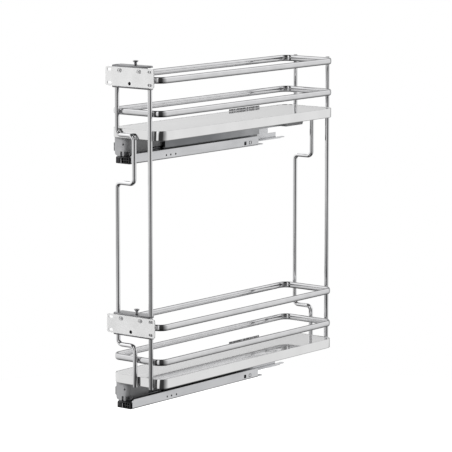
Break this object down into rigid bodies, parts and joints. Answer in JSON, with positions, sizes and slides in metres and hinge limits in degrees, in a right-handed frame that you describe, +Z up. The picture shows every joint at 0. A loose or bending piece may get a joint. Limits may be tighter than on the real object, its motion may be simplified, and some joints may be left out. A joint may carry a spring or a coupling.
{
  "type": "pull-out bottle rack",
  "caption": "Narrow chromed pull-out bottle rack for a base cabinet: an upper and a lower basket on wire posts, side-hung on soft-close ball slides, with adjustable door brackets.",
  "frame": {"origin": "middle of the lower slide's two wall screw holes, on the face that lies against the cabinet's side wall", "axes": "+X across the rack, from the cabinet's side wall towards its free side; +Y along the rack, from the door towards the cabinet's back; +Z up"},
  "size_m": [0.1105, 0.457, 0.5382],
  "materials": {
    "chrome_wire": "polished",
    "board": "glossy pale laminate",
    "zinc_steel": "zinc plated",
    "dark_steel": "dark passivated",
    "ball_steel": "ground",
    "cage_plastic": "moulded",
    "grey_plastic": "moulded",
    "dark_plastic": "moulded",
    "black_plastic": "moulded",
    "bracket_paint": "satin light grey"
  },
  "bodies": {
    "cabinet_side": {"lower_cabinet_profile": "zinc_steel", "lower_cabinet_rail": "zinc_steel", "lower_end_cap": "black_plastic", "lower_damper_housing": "grey_plastic", "lower_damper_cylinder": "black_plastic", "lower_damper_rod": "zinc_steel", "lower_closing_catch": "black_plastic", "lower_closing_spring": "zinc_steel", "upper_cabinet_profile": "zinc_steel", "upper_cabinet_rail": "zinc_steel", "upper_end_cap": "black_plastic", "upper_damper_housing": "grey_plastic", "upper_damper_cylinder": "black_plastic", "upper_damper_rod": "zinc_steel", "upper_closing_catch": "black_plastic", "upper_closing_spring": "zinc_steel"},
    "carriage": {"front_left_post": "chrome_wire", "front_right_post": "chrome_wire", "rear_left_post": "chrome_wire", "rear_right_post": "chrome_wire", "name_plates": "chrome_wire", "tray_screws": "zinc_steel", "lower_tray_pan": "chrome_wire", "lower_tray_board": "board", "lower_low_rail": "chrome_wire", "lower_top_rail": "chrome_wire", "lower_drawer_profile": "dark_steel", "lower_front_coupler": "grey_plastic", "lower_rear_clip": "grey_plastic", "lower_rail_clamp": "zinc_steel", "upper_tray_pan": "chrome_wire", "upper_tray_board": "board", "upper_low_rail": "chrome_wire", "upper_top_rail": "chrome_wire", "upper_drawer_profile": "dark_steel", "upper_front_coupler": "grey_plastic", "upper_rear_clip": "grey_plastic", "upper_rail_clamp": "zinc_steel"},
    "lower_middle_runner": {"lower_middle_profile": "zinc_steel"},
    "lower_inner_cage_set": {"lower_inner_cage": "cage_plastic", "lower_inner_balls": "ball_steel"},
    "lower_outer_cage_set": {"lower_outer_cage": "cage_plastic", "lower_outer_balls": "ball_steel"},
    "lower_wheel": {"lower_adjusting_wheel": "dark_plastic"},
    "lower_bracket": {"lower_bracket_housing": "bracket_paint", "lower_plate_screws": "zinc_steel"},
    "lower_height_screw": {"lower_height_screw": "zinc_steel"},
    "lower_door_plate": {"lower_door_plate": "bracket_paint"},
    "upper_middle_runner": {"upper_middle_profile": "zinc_steel"},
    "upper_inner_cage_set": {"upper_inner_cage": "cage_plastic", "upper_inner_balls": "ball_steel"},
    "upper_outer_cage_set": {"upper_outer_cage": "cage_plastic", "upper_outer_balls": "ball_steel"},
    "upper_wheel": {"upper_adjusting_wheel": "dark_plastic"},
    "upper_bracket": {"upper_bracket_housing": "bracket_paint", "upper_plate_screws": "zinc_steel"},
    "upper_height_screw": {"upper_height_screw": "zinc_steel"},
    "upper_door_plate": {"upper_door_plate": "bracket_paint"}
  },
  "joints": [
    {"name": "carriage_slide", "type": "slide", "parent": "cabinet_side", "child": "carriage", "axis": [0, -1, 0], "range_m": [0, 0.4]},
    {"name": "lower_middle_runner_slide", "type": "slide", "parent": "cabinet_side", "child": "lower_middle_runner", "axis": [0, -1, 0], "range_m": [0, 0.2]},
    {"name": "lower_inner_cage_set_slide", "type": "slide", "parent": "cabinet_side", "child": "lower_inner_cage_set", "axis": [0, -1, 0], "range_m": [0, 0.1]},
    {"name": "lower_outer_cage_set_slide", "type": "slide", "parent": "cabinet_side", "child": "lower_outer_cage_set", "axis": [0, -1, 0], "range_m": [0, 0.3]},
    {"name": "lower_wheel_turn", "type": "hinge", "parent": "carriage", "child": "lower_wheel", "pos_m": [0.013, -0.1654, -0.0055], "axis": [0, 0, 1], "range_deg": [-90, 90]},
    {"name": "lower_bracket_height", "type": "slide", "parent": "carriage", "child": "lower_bracket", "axis": [0, 0, 1], "range_m": [-0.0025, 0.0025]},
    {"name": "lower_plate_side", "type": "slide", "parent": "lower_bracket", "child": "lower_door_plate", "axis": [1, 0, 0], "range_m": [-0.0015, 0.0015]},
    {"name": "lower_height_screw_turn", "type": "hinge", "parent": "carriage", "child": "lower_height_screw", "pos_m": [0.0595, -0.18175, 0.129], "axis": [0, 0, 1], "range_deg": [-1125, 1125]},
    {"name": "upper_middle_runner_slide", "type": "slide", "parent": "cabinet_side", "child": "upper_middle_runner", "axis": [0, -1, 0], "range_m": [0, 0.2]},
    {"name": "upper_inner_cage_set_slide", "type": "slide", "parent": "cabinet_side", "child": "upper_inner_cage_set", "axis": [0, -1, 0], "range_m": [0, 0.1]},
    {"name": "upper_outer_cage_set_slide", "type": "slide", "parent": "cabinet_side", "child": "upper_outer_cage_set", "axis": [0, -1, 0], "range_m": [0, 0.3]},
    {"name": "upper_wheel_turn", "type": "hinge", "parent": "carriage", "child": "upper_wheel", "pos_m": [0.013, -0.1654, 0.3735], "axis": [0, 0, 1], "range_deg": [-90, 90]},
    {"name": "upper_bracket_height", "type": "slide", "parent": "carriage", "child": "upper_bracket", "axis": [0, 0, 1], "range_m": [-0.0025, 0.0025]},
    {"name": "upper_plate_side", "type": "slide", "parent": "upper_bracket", "child": "upper_door_plate", "axis": [1, 0, 0], "range_m": [-0.0015, 0.0015]},
    {"name": "upper_height_screw_turn", "type": "hinge", "parent": "carriage", "child": "upper_height_screw", "pos_m": [0.0595, -0.18175, 0.508], "axis": [0, 0, 1], "range_deg": [-1125, 1125]}
  ],
  "couplings": [
    {"joint": "lower_middle_runner_slide", "follows": "carriage_slide", "ratio": 0.5},
    {"joint": "lower_inner_cage_set_slide", "follows": "carriage_slide", "ratio": 0.25},
    {"joint": "lower_outer_cage_set_slide", "follows": "carriage_slide", "ratio": 0.75},
    {"joint": "lower_height_screw_turn", "follows": "lower_bracket_height", "rad_per_m": 7854},
    {"joint": "upper_middle_runner_slide", "follows": "carriage_slide", "ratio": 0.5},
    {"joint": "upper_inner_cage_set_slide", "follows": "carriage_slide", "ratio": 0.25},
    {"joint": "upper_outer_cage_set_slide", "follows": "carriage_slide", "ratio": 0.75},
    {"joint": "upper_height_screw_turn", "follows": "upper_bracket_height", "rad_per_m": 7854}
  ]
}
